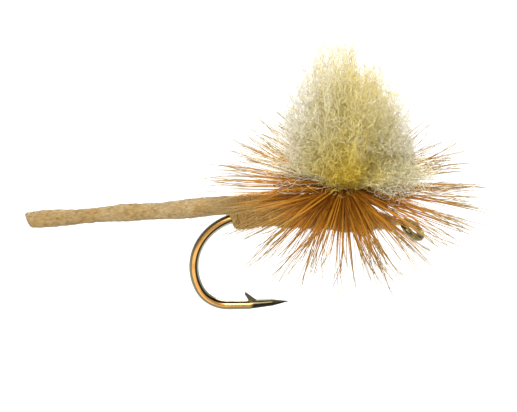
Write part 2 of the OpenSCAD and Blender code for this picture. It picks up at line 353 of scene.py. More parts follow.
def bronzeMaterial():
    # bronzed wire, with light painted into its colours: the gold brown shows only in a painted highlight band
    # on each side of the wire. The inner edge of the bend takes a nearly black painted reflection and the
    # outer edge an olive one, each with a pale painted rim reflection. Point and barb take painted light too:
    # khaki on top and dark below.
    material, tree, shader = newMaterial("bronzed_wire", {"Metallic": 1.0, "Coat Weight": 0.12,
                                                          "Coat Roughness": 0.12, "Coat IOR": 1.5})
    place = objectPlace(tree)
    # gold brown of the painted highlight band, dimmer in random patches
    patches = noise(tree, place, 0.5 * mm, 4.0)
    highlightBand = mixColour(tree, mapRange(tree, patches, 0.4, 0.7), bronze["highlightBand"], bronze["highlightBandDim"])
    # outward = how far the surface faces away from the centre of the bend, from -1 inside to 1 outside.
    # The painted reflection bands lie tilted on the wire, as they fall for a view from above and in front,
    # alike on both sides: the normal is read as (x, 0, 0.87 z - 0.5 |y|)
    centre = (hookLow[0] + bendReach, 0, shankZ - bendReach)
    spoke = operate(tree, "VectorMath", "SUBTRACT", place, centre)
    level = operate(tree, "VectorMath", "MULTIPLY", spoke, (1, 0, bronze["bandRise"]))
    unit = operate(tree, "VectorMath", "NORMALIZE", level)
    normal = splitVector(tree, addNode(tree, "ShaderNodeTexCoord").outputs["Normal"])
    sideways = operate(tree, "Math", "ABSOLUTE", normal["Y"])
    rise = operate(tree, "Math", "MULTIPLY", normal["Z"], bronze["bandRise"])
    tilted = operate(tree, "Math", "MULTIPLY_ADD", sideways, -bronze["bandLean"], rise)
    read = addNode(tree, "ShaderNodeCombineXYZ")
    tree.links.new(normal["X"], read.inputs["X"])
    tree.links.new(tilted, read.inputs["Z"])
    facing = operate(tree, "VectorMath", "DOT_PRODUCT", unit, read.outputs["Vector"])
    outward = mapRange(tree, facing, -1.0, 1.0)
    # painted reflections at the edges: near black inside the bend, olive outside, with pale painted rims
    edgeReflections = colourRamp(tree, outward, [
        (0.02, bronze["outerDarkReflection"]), (0.08, bronze["innerRimReflection"]), (0.14, bronze["innerRimReflection"]),
        (0.2, bronze["innerDarkReflection"]), (0.5, bronze["innerDarkReflection"]), (0.7, bronze["outerDarkReflection"]),
        (0.9, bronze["outerRimReflection"]), (0.98, bronze["outerDarkReflection"])])
    black, white = (0, 0, 0), (1, 1, 1)
    # painted highlight: the gold brown shows only in this band
    highlightStripe = colourRamp(tree, outward, [(0.35, black), (0.42, white), (0.68, white), (0.75, black)])
    colour = mixColour(tree, highlightStripe, edgeReflections, highlightBand)
    at = splitVector(tree, place)
    # painted light on the point: khaki where the surface faces up, painted shade where it faces down
    cut = mixColour(tree, mapRange(tree, normal["Z"], 0.25, 0.6), bronze["point"], bronze["pointLitTone"])
    low = mapRange(tree, at["Z"], shankZ - 5.2 * mm, shankZ - 5.5 * mm)
    forward = mapRange(tree, at["X"], hookLow[0] + 4.1 * mm, hookLow[0] + 4.35 * mm)
    colour = mixColour(tree, operate(tree, "Math", "MULTIPLY", low, forward), colour, cut)
    # the barb stands above the wire
    above = mapRange(tree, at["Z"], hookLow[2] + 0.78 * mm, hookLow[2] + 0.86 * mm)
    beside = mapRange(tree, at["X"], hookLow[0] + 3.0 * mm, hookLow[0] + 3.1 * mm)
    barb = operate(tree, "Math", "MULTIPLY", above, beside)
    # the barb is painted all over in the point's lit khaki tone
    colour = mixColour(tree, operate(tree, "Math", "MULTIPLY", barb, low), colour, bronze["pointLitTone"])
    # eye ring: olive, a painted dull reflection, with pale painted glints in random patches
    ring = mixColour(tree, mapRange(tree, patches, 0.45, 0.65), bronze["eye"], bronze["eyePaleGlint"])
    colour = mixColour(tree, mapRange(tree, at["X"], -1.3 * mm, -0.8 * mm), colour, ring)
    marks = noise(tree, objectPlace(tree, (1, 6, 1)), 0.05 * mm, 3.0)
    rough = bronze["roughness"]
    paint(tree, shader, colour, mapRange(tree, marks, 0.3, 0.7, rough - 0.05, rough + 0.14))
    addBump(tree, shader, marks, 0.25, 0.01 * mm)
    return material


def threadMaterial(name, dark, light):
    # waxed thread: two tones in fine slanting strands
    material, tree, shader = newMaterial(name, {"Specular IOR Level": 0.45, "Sheen Weight": 0.15})
    strands = noise(tree, objectPlace(tree, (1, 1, 5), (0.6, 0.5, 0.4)), 0.05 * mm, 4.0)
    wax = noise(tree, objectPlace(tree), 0.4 * mm, 2.0)
    colour = mixColour(tree, mapRange(tree, strands, 0.3, 0.7), dark, light)
    colour = mixColour(tree, mapRange(tree, wax, 0.5, 0.75, 0.0, 0.35), colour, dark)
    paint(tree, shader, colour, mapRange(tree, wax, 0.3, 0.7, 0.38, 0.62))
    addBump(tree, shader, strands, 0.5, 0.012 * mm)
    return material


pile = {"deep": (0.27, 0.145, 0.035), "tan": (0.37, 0.235, 0.08), "pale": (0.52, 0.42, 0.25),
        "olive": (0.15, 0.16, 0.015)}


def pileMaterial():
    # felted cord: tan with pale streaks along it, deeper flecks and a few olive specks near the hook
    material, tree, shader = newMaterial("cord_pile", {"Roughness": 0.92, "Specular IOR Level": 0.12,
                                                       "Sheen Weight": 0.35, "Sheen Roughness": 0.5})
    streaks = noise(tree, objectPlace(tree, (0.3, 1, 1), (0, 0.148, 0)), 0.34 * mm, 5.0, 0.62)
    flecks = noise(tree, objectPlace(tree, (0.5, 1, 1), (0, 0.148, 0)), 0.12 * mm, 3.0)
    blotches = noise(tree, objectPlace(tree), 1.7 * mm, 2.0)
    colour = colourRamp(tree, streaks, [(0.3, pile["deep"]), (0.46, pile["tan"]), (0.6, pile["tan"]),
                                        (0.76, pile["pale"])])
    colour = mixColour(tree, mapRange(tree, flecks, 0.5, 0.8, 0.0, 0.6), colour, pile["pale"])
    colour = mixColour(tree, mapRange(tree, blotches, 0.45, 0.7, 0.0, 0.4), colour, pile["pale"])
    specks = noise(tree, objectPlace(tree, (0.6, 1, 1.4)), 0.55 * mm, 2.0)
    alongX = splitVector(tree, objectPlace(tree))["X"]
    nearHook = mapRange(tree, alongX, lumpLow[0] - 4 * mm, lumpLow[0] - 1.5 * mm)
    speckled = operate(tree, "Math", "MULTIPLY", nearHook, mapRange(tree, specks, 0.62, 0.7, 0.0, 0.75))
    colour = mixColour(tree, speckled, colour, pile["olive"])
    # deeper colour towards the lump, over the last two millimetres before it
    deeperNearLump = mapRange(tree, alongX, lumpLow[0] - 2 * mm, lumpLow[0] + 0.4 * mm, 0.0, 0.55)
    colour = mixColour(tree, deeperNearLump, colour, pile["deep"])
    paint(tree, shader, colour)
    addBump(tree, shader, flecks, 0.8, 0.05 * mm)
    return material


dubbingLook = {"deep": (0.3, 0.14, 0.012), "tan": (0.5, 0.29, 0.05), "pale": (0.7, 0.53, 0.24),
               "rear": (0.63, 0.42, 0.15)}


def dubbingMaterial():
    # matted fur: tan, with golden brown hollows and pale tufts wound round the body
    material, tree, shader = newMaterial("dubbed_fur", {"Roughness": 0.9, "Specular IOR Level": 0.15,
                                                        "Sheen Weight": 0.3, "Sheen Roughness": 0.5})
    wound = noise(tree, objectPlace(tree, (1.8, 0.5, 0.5), (0, 0.3, 0)), 0.4 * mm, 5.0, 0.6)
    fur = noise(tree, objectPlace(tree, (1.5, 0.8, 0.8)), 0.09 * mm, 3.0)
    colour = colourRamp(tree, wound, [(0.36, dubbingLook["deep"]), (0.5, dubbingLook["tan"]),
                                      (0.66, dubbingLook["pale"])])
    colour = mixColour(tree, mapRange(tree, fur, 0.45, 0.75, 0.0, 0.5), colour, dubbingLook["pale"])
    # lighter and looser at the rear, where it runs out on the cord
    alongX = splitVector(tree, objectPlace(tree))["X"]
    rear = mapRange(tree, alongX, abdomenLow[0] + 1.2 * mm, abdomenLow[0] - 0.8 * mm, 0.0, 0.6)
    colour = mixColour(tree, rear, colour, dubbingLook["rear"])
    paint(tree, shader, colour)
    addBump(tree, shader, fur, 0.8, 0.05 * mm)
    return material


def varnishMaterial():
    # clear varnish over the head, faintly amber, with a soft ripple
    material, tree, shader = newMaterial("head_varnish", {"Transmission Weight": 0.95, "IOR": 1.48,
                                                          "Coat Weight": 0.6, "Coat Roughness": 0.03})
    ripple = noise(tree, objectPlace(tree), 0.3 * mm, 2.0)
    amber = mixColour(tree, ripple, (0.95, 0.82, 0.58), (0.88, 0.7, 0.42))
    paint(tree, shader, amber, mapRange(tree, ripple, 0.3, 0.7, 0.04, 0.12))
    addBump(tree, shader, ripple, 0.2, 0.02 * mm)
    return material


wireFinish = bronzeMaterial()
tanThread = threadMaterial("tan_thread", (0.26, 0.14, 0.04), (0.52, 0.33, 0.13))
darkThread = threadMaterial("head_thread", (0.34, 0.2, 0.07), (0.74, 0.56, 0.34))
coreThread = threadMaterial("core_thread", (0.5, 0.38, 0.24), (0.8, 0.7, 0.54))
cordPile = pileMaterial()
furSkin = dubbingMaterial()
varnish = varnishMaterial()

barbFinish = fibreMaterial("ginger_barbs", {
    "roughness": 0.34, "gloss": 0.5, "lightThrough": 0.4, "mottle": 0.5 * mm, "mottleShare": 0.3,
    "mottleColour": (0.78, 0.46, 0.12),
    "rootToTip": [(0.0, (0.37, 0.1, 0.002)), (0.16, (0.62, 0.22, 0.005)), (0.5, (0.78, 0.37, 0.022)),
                  (1.0, (0.42, 0.33, 0.11))],
    # tones differ from fibre to fibre at random; the palest, cream and above 1, are a painted highlight
    "tones": [(0.0, (0.45, 0.36, 0.28)), (0.3, (0.85, 0.82, 0.78)), (0.8, (1.0, 1.0, 1.0)),
              (1.0, (1.25, 1.5, 2.2))]})
yarnFinish = fibreMaterial("yellow_yarn", {
    "roughness": 0.5, "gloss": 0.3, "lightThrough": 0.28, "mottle": 1.2 * mm, "mottleShare": 0.06,
    "mottleColour": (0.98, 0.93, 0.72),
    "rootToTip": [(0.0, (1.0, 0.74, 0.04)), (0.2, (1.0, 0.81, 0.13)), (0.5, (1.0, 0.9, 0.42)),
                  (1.0, (1.0, 0.96, 0.82))],
    "tones": [(0.0, (0.95, 0.93, 0.86)), (0.5, (1.0, 1.0, 1.0)), (1.0, (1.0, 1.0, 1.0))]})
furFinish = fibreMaterial("loose_fur", {
    "roughness": 0.6, "gloss": 0.25, "lightThrough": 0.4, "mottle": 0.5 * mm, "mottleShare": 0.4,
    "mottleColour": (0.74, 0.52, 0.2),
    "rootToTip": [(0.0, (0.5, 0.3, 0.06)), (0.5, (0.64, 0.42, 0.12)), (1.0, (0.74, 0.54, 0.25))],
    "tones": [(0.0, (0.7, 0.6, 0.5)), (0.5, (0.97, 0.95, 0.93)), (1.0, (1.2, 1.2, 1.2))]})
pileFinish = fibreMaterial("cord_nap", {
    "roughness": 0.7, "gloss": 0.2, "lightThrough": 0.3, "mottle": 0.6 * mm, "mottleShare": 0.5,
    "mottleColour": (0.5, 0.4, 0.23),
    "rootToTip": [(0.0, (0.3, 0.18, 0.06)), (1.0, (0.45, 0.31, 0.14))],
    "tones": [(0.0, (0.65, 0.55, 0.45)), (0.5, (0.95, 0.95, 0.95)), (1.0, (1.25, 1.25, 1.3))]})
webFinish = fibreMaterial("hackle_web", {
    "roughness": 0.5, "gloss": 0.3, "lightThrough": 0.3, "mottle": 0.4 * mm, "mottleShare": 0.2,
    "mottleColour": (0.6, 0.26, 0.02),
    "rootToTip": [(0.0, (0.2, 0.05, 0.002)), (0.5, (0.44, 0.15, 0.006)), (1.0, (0.62, 0.28, 0.03))],
    "tones": [(0.0, (0.6, 0.5, 0.4)), (1.0, (1.05, 1.0, 0.95))]})


def quillMaterial():
    # feather stem: horny brown with pale streaks along it
    material, tree, shader = newMaterial("feather_quill", {"Specular IOR Level": 0.55, "Roughness": 0.35})
    streak = noise(tree, objectPlace(tree, (1, 1, 4)), 0.15 * mm, 3.0)
    horn = mixColour(tree, mapRange(tree, streak, 0.35, 0.7), (0.24, 0.12, 0.045), (0.55, 0.34, 0.15))
    paint(tree, shader, horn)
    addBump(tree, shader, streak, 0.4, 0.01 * mm)
    return material


quillFinish = quillMaterial()
print("materials made")


# ---- hook: its CAD solid is the right shape, so it keeps it and takes the bronzed finish

def dressNode(node, material):
    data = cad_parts[node].data
    data.materials.clear()
    data.materials.append(material)


dressNode("hook", wireFinish)
dressNode("cord_core", coreThread)
dressNode("head_cement", varnish)
print("hook dressed")


# ---- wound thread

thread = {"pitch": 0.1 * mm, "depth": 0.04 * mm, "baseDepth": 0.02 * mm}


def woundSkin(name, start, end, radiusStart, radiusEnd, material, replaced,
              pitch=thread["pitch"], depth=thread["depth"]):
    # a round skin from start to end whose surface is a helix of half-round ridges:
    # radius = outer radius - depth * (1 - height of a half circle across one turn)
    start, end = np.array(start), np.array(end)
    run = end - start
    length = np.linalg.norm(run)
    axis = run / length
    side = np.cross(axis, (0.0, 1.0, 0.3))
    side /= np.linalg.norm(side)
    lift = np.cross(axis, side)
    around = 72
    rings = int(length / pitch * 12) + 2
    travel = np.linspace(0, 1, rings)[:, None]
    angle = 2 * np.pi * np.arange(around)[None, :] / around
    turnPlace = (travel * length / pitch + angle / (2 * np.pi)) % 1.0
    ridge = np.sqrt(np.clip(1 - (2 * turnPlace - 1) ** 2, 0, 1))
    radius = radiusStart + (radiusEnd - radiusStart) * travel - depth * (1 - ridge)
    wobble = 1 + 0.012 * np.sin(3 * angle + 9 * travel)
    radius = radius * wobble
    grid = (start + travel[..., None] * run
            + radius[..., None] * (np.cos(angle)[..., None] * side + np.sin(angle)[..., None] * lift))
    return finishPiece(closedSkin(name, grid), material, replaced)


whipRadius = whipHigh[1]
woundSkin("head_wraps", (headLow[0], 0, shankZ), (headHigh[0], 0, shankZ), headHigh[1], whipRadius,
          darkThread, ["head_thread"])
woundSkin("whip_turns", (whipLow[0], 0, shankZ), (whipHigh[0], 0, shankZ), whipRadius, whipRadius,
          darkThread, ["whip_finish"])
woundSkin("post_thread", (postX, 0, wrapsLow[2]), (postX, 0, wrapsHigh[2]), wrapsHigh[1], wrapsHigh[1] * 0.97,
          tanThread, ["post_wraps"], 1.2 * thread["pitch"])
woundSkin("hackle_tie_off", (postX, 0, tieLow[2]), (postX, 0, tieHigh[2]), tieHigh[1], tieHigh[1],
          tanThread, ["tie_off_wraps"])
woundSkin("shank_thread", (baseLow[0], 0, shankZ), (baseHigh[0], 0, shankZ), baseHigh[1], baseHigh[1],
          tanThread, ["thread_base"], 1.5 * thread["pitch"], thread["baseDepth"])


def tubeAlong(path, radius, around=10):
    # round tube along one open path of many points
    _, across, lift = framesAlong(path, np.array((0.31, 0.17, 0.93)))
    angle = 2 * np.pi * np.arange(around) / around
    ring = np.cos(angle)[None, :, None] * across[:, None, :] + np.sin(angle)[None, :, None] * lift[:, None, :]
    radius = np.broadcast_to(radius, len(path))
    return path[:, None, :] + radius[:, None, None] * ring


def addBinding():
    # turns round the shank and the cord together: an oval helix that creeps along X
    turns = 18
    t = np.linspace(0, 1, turns * 40)
    angle = 2 * np.pi * turns * t
    reach = bindHigh[1] - 0.05 * mm
    middle = (bindLow[2] + bindHigh[2]) / 2
    spare = (bindHigh[2] - bindLow[2]) / 2 - 0.05 * mm - reach
    x = bindHigh[0] + (bindLow[0] - bindHigh[0]) * t
    z = middle + spare * np.tanh(3 * np.sin(angle)) + reach * np.sin(angle)
    path = np.stack([x, reach * np.cos(angle), z], axis=1)
    mesh = closedSkin("binding_turns", tubeAlong(path, 0.05 * mm, 8))
    finishPiece(mesh, tanThread, ["body_wraps"])


addBinding()
print("thread wound")


# ---- cord body

cordPlan = {"fall": 8.6, "bendRadius": 3 * mm, "run": 13.3 * mm, "slant": 21.0, "bound": 0.6,
            "squeeze": 1.45 * mm, "lumps": 0.045 * mm, "pile": 0.03 * mm, "nap": 9000, "napLength": 0.24 * mm}
# thickness of the felt along the cord, as (millimetres from the tail, share of the mean)
cordSwell = ((0, 0.85), (0.5, 0.92), (1.2, 0.97), (2.4, 0.95), (3.6, 0.86), (5.2, 0.85), (6.1, 0.96),
             (7.2, 0.93), (8.4, 0.94), (9.3, 1.03), (10.4, 1.1), (11.9, 1.08), (13.2, 1.0), (16.0, 1.0))
# how far the cord hangs below its straight line, in millimetres
cordSag = ((0, 0.04), (4, 0.02), (7, 0.04), (9, 0.08), (10.4, 0.11), (11.9, 0.06), (13.2, 0.0), (16.0, 0.0))
cordRadius = (cordHigh[1] - cordLow[1]) / 2
cordZ = cordHigh[2] - cordRadius
elbowX = bindLow[0] - 0.15 * mm - cordPlan["squeeze"]
boundRun = cordHigh[0] - elbowX
cordFall = math.radians(cordPlan["fall"])
cordLength = boundRun + cordPlan["bendRadius"] * cordFall + cordPlan["run"]


def cordPlace(s):
    # level along the shank, then round a short bend, then straight and falling to the tail
    flat = np.clip(s, 0, boundRun)
    turned = np.clip((s - boundRun) / cordPlan["bendRadius"], 0, cordFall)
    rest = np.clip(s - boundRun - cordPlan["bendRadius"] * cordFall, 0, None)
    x = cordHigh[0] - flat - cordPlan["bendRadius"] * np.sin(turned) - rest * math.cos(cordFall)
    z = cordZ - cordPlan["bendRadius"] * (1 - np.cos(turned)) - rest * math.sin(cordFall)
    centre = np.stack([x, np.zeros_like(x), z], axis=-1)
    side = np.broadcast_to(np.array((0.0, 1.0, 0.0)), centre.shape)
    down = np.stack([np.sin(turned), np.zeros_like(x), -np.cos(turned)], axis=-1)
    along = np.stack([-np.cos(turned), np.zeros_like(x), -np.sin(turned)], axis=-1)
    return centre, side, down, along


def curve(t, *knots):
    # smooth line through (place, value) knots
    places, values = np.array(knots).T
    step = np.clip(np.searchsorted(places, t) - 1, 0, len(places) - 2)
    share = np.clip((t - places[step]) / (places[step + 1] - places[step]), 0, 1)
    slopes = np.gradient(values, places)
    gap = places[step + 1] - places[step]
    return ((2 * share ** 3 - 3 * share ** 2 + 1) * values[step]
            + (share ** 3 - 2 * share ** 2 + share) * gap * slopes[step]
            + (3 * share ** 2 - 2 * share ** 3) * values[step + 1]
            + (share ** 3 - share ** 2) * gap * slopes[step + 1])


def cordSurface(s, angle, share, extra):
    # ring point at distance s and angle: centre + radius * (side * cos a + down * sin a),
    # slid along the cord near the tail so that the end is a slanting cut
    centre, side, down, along = cordPlace(s)
    squeeze = np.clip((s - boundRun + cordPlan["squeeze"]) / cordPlan["squeeze"], 0, 1)
    bound = cordPlan["bound"]
    radius = cordRadius * (bound + (1 - bound) * squeeze * squeeze * (3 - 2 * squeeze))
    rough = centre + radius[..., None] * (np.cos(angle)[..., None] * side + np.sin(angle)[..., None] * down)
    stretched = rough * np.array((0.45, 1.0, 1.0))
    swell = (cordPlan["lumps"] * softNoise(stretched, 1.5 * mm, 11)
             + cordPlan["pile"] * softNoise(stretched, 0.3 * mm, 12))
    thick = curve((cordLength - s) / mm, *cordSwell)
    sag = curve((cordLength - s) / mm, *cordSag) * mm
    centre = centre + down * (sag * squeeze)[..., None]
    radius = (radius * (1 + (thick - 1) * squeeze) + swell * squeeze + extra) * share
    nearTail = np.clip(1 - (cordLength - s) / (1.8 * mm), 0, 1)
    slide = -radius * np.sin(angle) * math.tan(math.radians(cordPlan["slant"])) * nearTail
    point = centre + radius[..., None] * (np.cos(angle)[..., None] * side + np.sin(angle)[..., None] * down)
    return point + slide[..., None] * along


def addCord():
    around = 56
    straight = np.linspace(0, cordLength - 0.16 * mm, 420)
    corner = np.linspace(0, math.pi / 2, 7)[1:]
    s = np.concatenate([straight, cordLength - 0.16 * mm + 0.16 * mm * np.sin(corner),
                        np.full(5, cordLength)])
    share = np.concatenate([np.ones(len(straight)), 1 - 0.2 * (1 - np.cos(corner)),
                            [0.68, 0.52, 0.36, 0.2, 0.07]])
    s = s + np.where(share < 0.7, 0.02 * mm * np.sin(40 * share), 0)
    angle = 2 * np.pi * np.arange(around) / around
    sGrid, aGrid = np.meshgrid(s, angle, indexing="ij")
    grid = cordSurface(sGrid, aGrid, share[:, None], 0.0)
    finishPiece(closedSkin("cord_body", grid), cordPile, ["body_cord"])


def addNap():
    # short soft fibres that lie along the cord and lift a little from it
    dice = np.random.default_rng(21)
    count, steps = cordPlan["nap"], 4
    s0 = dice.uniform(boundRun - 0.2 * mm, cordLength - 0.03 * mm, count)
    a0 = dice.uniform(0, 2 * np.pi, count)
    reach = cordPlan["napLength"] * dice.uniform(0.4, 1.3, count) * dice.choice((-1, 1), count)
    twist = dice.normal(0, 0.25, count)
    rise = np.abs(dice.normal(0.02, 0.018, count)) * mm
    t = stepRow(steps)
    s = np.clip(s0[:, None] + reach[:, None] * t, 0, cordLength)
    angle = a0[:, None] + twist[:, None] * t
    paths = cordSurface(s, angle, 1.0, rise[:, None] * t ** 1.5 - 0.006 * mm)
    radii = 0.0085 * mm * (1 - 0.75 * t) * dice.uniform(0.7, 1.2, count)[:, None]
    mesh = fibreBundle("cord_nap", paths, radii, 3, dice.uniform(0, 1, count))
    finishPiece(mesh, pileFinish, [])


def addTailPile():
    # pile that shows on the cut end
    dice = np.random.default_rng(22)
    count, steps = 900, 4
    share = np.sqrt(dice.uniform(0.02, 0.9, count))
    a0 = dice.uniform(0, 2 * np.pi, count)
    t = stepRow(steps)
    s = np.full((count, steps), cordLength - 0.02 * mm)
    base = cordSurface(s, a0[:, None] + 0 * t, share[:, None], 0.0)
    _, side, down, along = cordPlace(np.full(count, cordLength))
    lean = unitRows(0.7 * along + dice.normal(0, 0.5, (count, 3)))
    paths = base + lean[:, None, :] * (t * dice.uniform(0.05, 0.14, count)[:, None] * mm)[..., None]
    radii = 0.008 * mm * (1 - 0.7 * t) * np.ones((count, 1))
    mesh = fibreBundle("tail_pile", paths, radii, 3, dice.uniform(0, 1, count))
    finishPiece(mesh, pileFinish, [])


addCord()
addNap()
addTailPile()
print("cord body made")


# ---- dubbing: matted fur wound on over thread, cord and shank

fur = {"lumps": 0.07 * mm, "tufts": 0.042 * mm, "hairRadius": 0.008 * mm, "wound": 2600, "loose": 700}


def furSkinGrid(xs, top, bottom, halfWidth, around=72):
    # oval rings square to X between a top and a bottom line, pushed out by slow lumps and fine tufts
    angle = 2 * np.pi * np.arange(around)[None, :] / around
    middle = np.stack([xs, np.zeros_like(xs), (top + bottom) / 2], axis=-1)[:, None, :]
    ring = np.stack([0 * angle + 0 * xs[:, None], np.sin(angle) * halfWidth[:, None],
                     np.cos(angle) * ((top - bottom) / 2)[:, None]], axis=-1)
    size = np.linalg.norm(ring, axis=-1, keepdims=True)
    place = middle + ring
    swell = (fur["lumps"] * softNoise(place, 1.1 * mm, 31)
             + fur["tufts"] * softNoise(place * (1.8, 1, 1), 0.3 * mm, 32))
    return middle + ring * (1 + swell[..., None] / np.maximum(size, 0.4 * mm))


def furHairs(name, grid, seed, wound, loose):
    # hairs that lie round the body just above the skin, and a few that stray outwards
    dice = np.random.default_rng(seed)
    rings, around = grid.shape[:2]
    middle = grid.mean(axis=1)
    count, steps = wound + loose, 8
    stray = np.arange(count) >= wound
    t = stepRow(steps)
    u0 = dice.uniform(0.02, 0.98, count)
    v0 = dice.uniform(0, 1, count)
    uStep = dice.normal(0, 0.05, count) * np.where(stray, 1.5, 1)
    vStep = dice.uniform(0.08, 0.3, count) * dice.choice((-1, 1), count, p=(0.2, 0.8))
    vStep = vStep * np.where(stray, 0.5, 1)
    u = np.clip(u0[:, None] + uStep[:, None] * t, 0, 1) * (rings - 1)
    v = (v0[:, None] + vStep[:, None] * t) % 1.0 * around
    ui = np.clip(u.astype(int), 0, rings - 2)
    vi = v.astype(int) % around
    uf, vf = (u - ui)[..., None], (v - v.astype(int))[..., None]
    near = grid[ui, vi] * (1 - vf) + grid[ui, (vi + 1) % around] * vf
    far = grid[ui + 1, vi] * (1 - vf) + grid[ui + 1, (vi + 1) % around] * vf
    skin = near * (1 - uf) + far * uf
    out = unitRows(skin - middle[ui])
    lift = np.where(stray, dice.uniform(0.06, 0.45, count), np.abs(dice.normal(0.03, 0.045, count))) * mm
    bow = np.where(stray[:, None], t ** 1.4, np.sin(np.pi * t) + 0.2)
    paths = skin + out * (lift[:, None] * bow)[..., None]
    paths = paths - out * 0.008 * mm
    radii = fur["hairRadius"] * dice.uniform(0.6, 1.2, count)[:, None] * (1 - 0.6 * t)
    mesh = fibreBundle(name, paths, radii, 3, dice.uniform(0, 1, count))
    return finishPiece(mesh, furFinish, [])


def addDubbing():
    # abdomen, its rear end tucked inside the lump
    bodyTop, bodyBottom = abdomenHigh[2], abdomenLow[2]
    xs = np.linspace(abdomenLow[0] - 0.1 * mm, abdomenHigh[0], 150)
    back = (xs - abdomenLow[0]) / mm
    inset = curve(back, (-0.2, 0.3), (0.1, 0.14), (0.6, 0.02), (1.2, 0.0), (5, 0.0)) * mm
    pulse = 0.025 * mm * np.sin(xs / (0.31 * mm))
    width = (bodyTop - bodyBottom) / 2 - inset
    grid = furSkinGrid(xs, bodyTop - inset + pulse, bodyBottom + inset, width)
    finishPiece(closedSkin("abdomen_fur", grid), furSkin, ["abdomen_dubbing"])
    furHairs("abdomen_hairs", grid, 33, fur["wound"], fur["loose"])
    # thorax: full at the post, falling away to the head
    xs = np.linspace(thoraxLow[0] - 0.06 * mm, thoraxHigh[0] + 0.1 * mm, 130)
    t = (xs - xs[0]) / (xs[-1] - xs[0])
    half = (bodyTop - bodyBottom) / 2 * curve(t, (0, 0.97), (0.3, 1.0), (0.6, 0.86), (0.85, 0.68),
                                              (0.96, 0.5), (1.0, 0.36))
    centre = (bodyTop + bodyBottom) / 2 + (shankZ + 0.05 * mm - (bodyTop + bodyBottom) / 2) * t
    grid = furSkinGrid(xs, centre + half, centre - half, half)
    finishPiece(closedSkin("thorax_fur", grid), furSkin, ["thorax_dubbing"])
    furHairs("thorax_hairs", grid, 34, 1500, 300)
    # lump under the cord at the top of the bend: it rises steeply from the wire and runs on into the abdomen
    xs = np.linspace(abdomenLow[0] - 2.05 * mm, abdomenLow[0] + 0.75 * mm, 150)
    back = (xs - abdomenLow[0]) / mm
    cordTop = cordHigh[2]
    top = cordTop + curve(back, (-2.1, -0.35), (-1.6, -0.14), (-0.9, -0.02), (-0.2, 0.06), (0.7, 0.08)) * mm
    bottom = lumpLow[2] + curve(back, (-2.1, 1.45), (-1.98, 1.15), (-1.82, 0.66), (-1.66, 0.3), (-1.4, 0.12),
                                (-1.1, 0.14), (-0.6, 0.22), (-0.1, 0.36), (0.4, 0.46), (0.8, 0.56)) * mm
    width = curve(back, (-2.1, 0.2), (-1.7, 0.46), (-1.0, 0.72), (-0.2, 0.88), (0.3, 0.95), (0.8, 0.9)) * mm
    grid = furSkinGrid(xs, top, bottom, width)
    finishPiece(closedSkin("lump_fur", grid), furSkin, ["rear_dubbing"])
    furHairs("lump_hairs", grid, 36, 1500, 900)


addDubbing()
print("dubbing made")


# ---- hackle

hackle = {"count": 640, "clump": 4, "length": 8.5 * mm, "droop": 6.0, "sideTilt": 9.5, "overBody": 8.0,
          "rootRadius": 0.042 * mm, "tipRadius": 0.0125 * mm, "scatter": 5.5, "web": 1300,
          "webLength": 4.2 * mm}
stemRadius = 0.1 * mm
stemReach = stemHigh[1] - stemRadius
stemStart = stemLow[2] + stemRadius
stemRise = stemHigh[2] - stemLow[2] - 2 * stemRadius
stemTurns = round(stemRise / (0.24 * mm))


def bump(around, middle, width):
    # one smooth hump round the post, in degrees
    away = (np.degrees(around) - middle + 180) % 360 - 180
    return np.exp(-(away / width) ** 2)


def barbSlope(around):
    # degrees above level: the near side droops, and the body holds up the barbs that cross it
    return (-hackle["droop"] + hackle["sideTilt"] * np.sin(around)
            + hackle["overBody"] * bump(around, 184, 24))


def addStem():
    t = np.linspace(0, 1, stemTurns * 60)
    angle = 2 * np.pi * stemTurns * t
    path = np.stack([postX + stemReach * np.cos(angle), stemReach * np.sin(angle),
                     stemStart + stemRise * t], axis=1)
    radius = stemRadius * (1 - 0.25 * t) * (1 + 0.05 * np.sin(160 * t))
    mesh = closedSkin("hackle_quill", tubeAlong(path, radius, 12))
    finishPiece(mesh, quillFinish, ["hackle_stem"])


